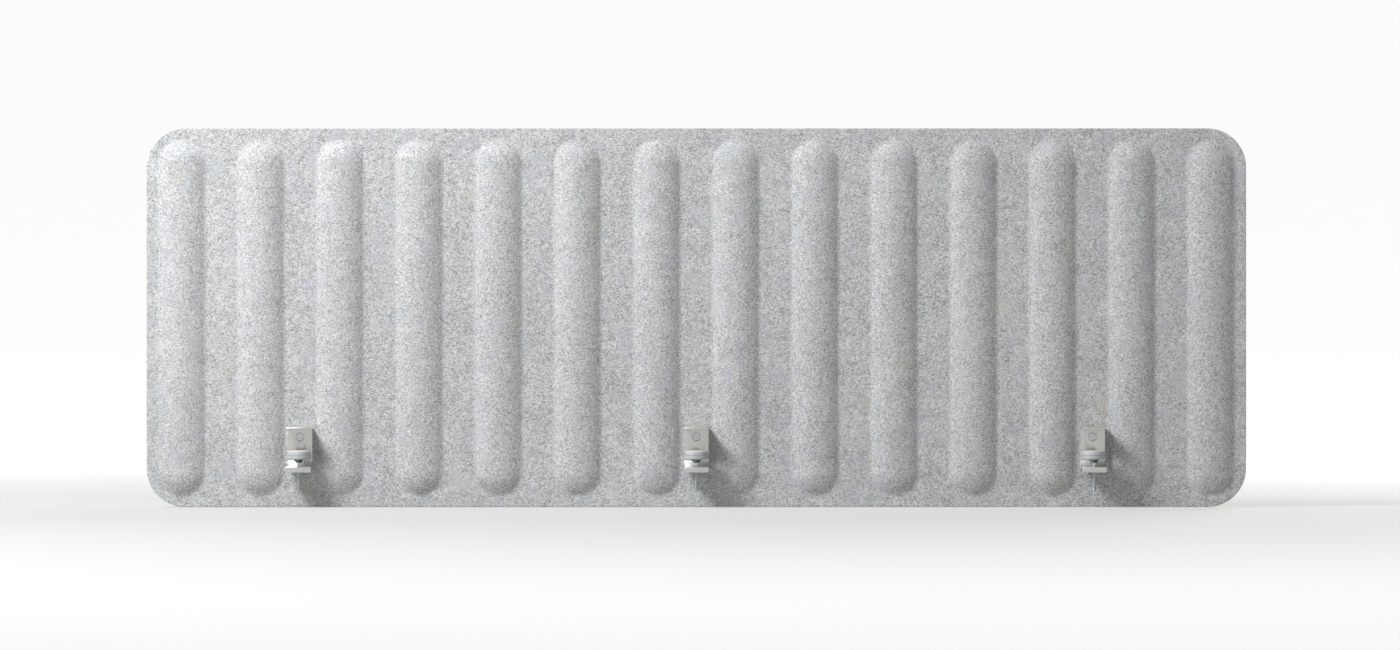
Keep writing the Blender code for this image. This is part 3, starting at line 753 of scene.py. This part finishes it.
disc = {
    "radius": 21.7 * mm,
    "thickness": 5 * mm,
    "backRound": 1.6 * mm,
    "frontRound": 0.5 * mm,
    "bossRadius": 5.7 * mm,
    "bossLength": 6.3 * mm,
    "bore": 3.8 * mm,
    "boreDepth": 3.3 * mm,
    "faceRim": 0.97,          # where the spun rim starts, as a share of the radius
    "bossFillet": 0.4 * mm,
    "bossRound": 0.3 * mm,
    "boreRound": 0.2 * mm,
    "bossSteps": 40,
    "steps": 72,
}


def discPiece(side, sizes, finish):
    # rim and back are spun, the bosses and bores drawn out, and the face filled between
    bm = bmesh.new()
    low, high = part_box(f"{side}_backing_disc")
    middle = (low.z + high.z) / 2
    outline = rounded([(sizes["radius"] * sizes["faceRim"], 0),
                       (sizes["radius"], 0, sizes["frontRound"]),
                       (sizes["radius"], -sizes["thickness"], sizes["backRound"]),
                       (0, -sizes["thickness"])], 6)
    turned(bm, outline, sizes["steps"])
    face = [edge for edge in bm.edges if edge.is_boundary]
    boss, end, fillet = sizes["bossRadius"], sizes["bossLength"], sizes["bossFillet"]
    for row in rows:
        at = Matrix.Translation((0, screwHeights[row] - middle, 0))
        root = bmesh.ops.create_circle(bm, segments=sizes["bossSteps"], radius=boss + fillet,
                                       matrix=at)["verts"]
        ring = list({edge for vert in root for edge in vert.link_edges})
        face.extend(ring)
        for radius, height in [(boss + 0.3 * fillet, 0.3 * fillet), (boss, fillet),
                               (boss, end - sizes["bossRound"]), (boss - sizes["bossRound"], end),
                               (sizes["bore"] + sizes["boreRound"], end),
                               (sizes["bore"], end - sizes["boreRound"]),
                               (sizes["bore"], -sizes["boreDepth"])]:
            grown = bmesh.ops.extrude_edge_only(bm, edges=ring)["geom"]
            for vert in onlyVerts(grown):
                flat = (at.inverted() @ vert.co).xy.normalized() * radius
                vert.co = at @ Vector((flat.x, flat.y, height))
            ring = onlyEdges(grown)
        closeEnd(bm, ring)
    bmesh.ops.triangle_fill(bm, use_beauty=True, edges=face, normal=(0, 0, 1))
    bmesh.ops.recalc_face_normals(bm, faces=bm.faces)
    place = Matrix.Translation((stations[side], high.y - sizes["thickness"], middle)) @ facingDesk
    piece(f"{side}Disc", bm, place, finish, "panel", f"{side}_backing_disc",
          35)


plasticLooks = {
    "bandPlastic": ((0.30, 0.318, 0.332), 0.42, 0.4 * mm),    # colour, roughness and grain
    "capPlastic": ((0.335, 0.33, 0.322), 0.55, 0.3 * mm),
    "discPlastic": ((0.48, 0.48, 0.478), 0.5, 0.5 * mm),
}


def plasticFinish(name, colour, roughness, grainSize):
    plastic = Finish(name, colour, roughness, fixed={"Specular IOR Level": 0.5})
    spark = plastic.grain((grainSize, grainSize, grainSize), detail=2.0)
    cloud = plastic.grain((0.012, 0.012, 0.012), detail=3.0)
    scuff = plastic.grain((0.009, 0.0006, 0.0006), turn=(0.4, 0.7, 1.1), detail=3.0)
    scuff = scuff.between(0.66, 0.74)
    worn = plastic.edges(0.4 * mm) * cloud.between(0.35, 0.6)
    dirty = tuple(channel * 0.86 for channel in colour)
    pale = tuple(min(1, channel * 1.18) for channel in colour)
    shade = plastic.mix(cloud.between(0.35, 0.75) * 0.5, colour, dirty)
    plastic.feed("Base Color", plastic.mix(worn * 0.5 + scuff * 0.25, shade, pale))
    plastic.feed("Roughness", roughness + (spark - 0.5) * 0.25 + scuff * 0.15 - worn * 0.08)
    plastic.bump(spark + scuff * 0.4, 0.04 * mm, 0.6)
    return plastic.material


aluminium = bracketFinish(bracketLook)
zinc, darkZinc, blackBrass = [zincFinish(name, *look) for name, look in metalLooks.items()]
bandPlastic, capPlastic, discPlastic = [plasticFinish(name, *look)
                                        for name, look in plasticLooks.items()]

for side in sides:
    spindleLow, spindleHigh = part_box(f"{side}_spindle")
    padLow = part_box(f"{side}_pad_cup")[0]
    spindlePlace = Matrix.Translation((stations[side], (spindleLow.y + spindleHigh.y) / 2,
                                       padLow.z))
    bracketPiece(side, bracketLook, aluminium)
    discPiece(side, disc, discPlastic)
    spindlePiece(side, spindle, spindlePlace, zinc)
    collarPiece(side, collar, spindlePlace, darkZinc)
    cupPiece(side, cup, spindlePlace, bandPlastic)
    capPiece(side, cap, spindlePlace, capPlastic)
    for row in rows:
        screwPiece(side, row, screw, zinc)
        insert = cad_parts[f"{side}_{row}_insert"]
        insert.data.materials.clear()
        insert.data.materials.append(blackBrass)
    print(side, "clamp ready")
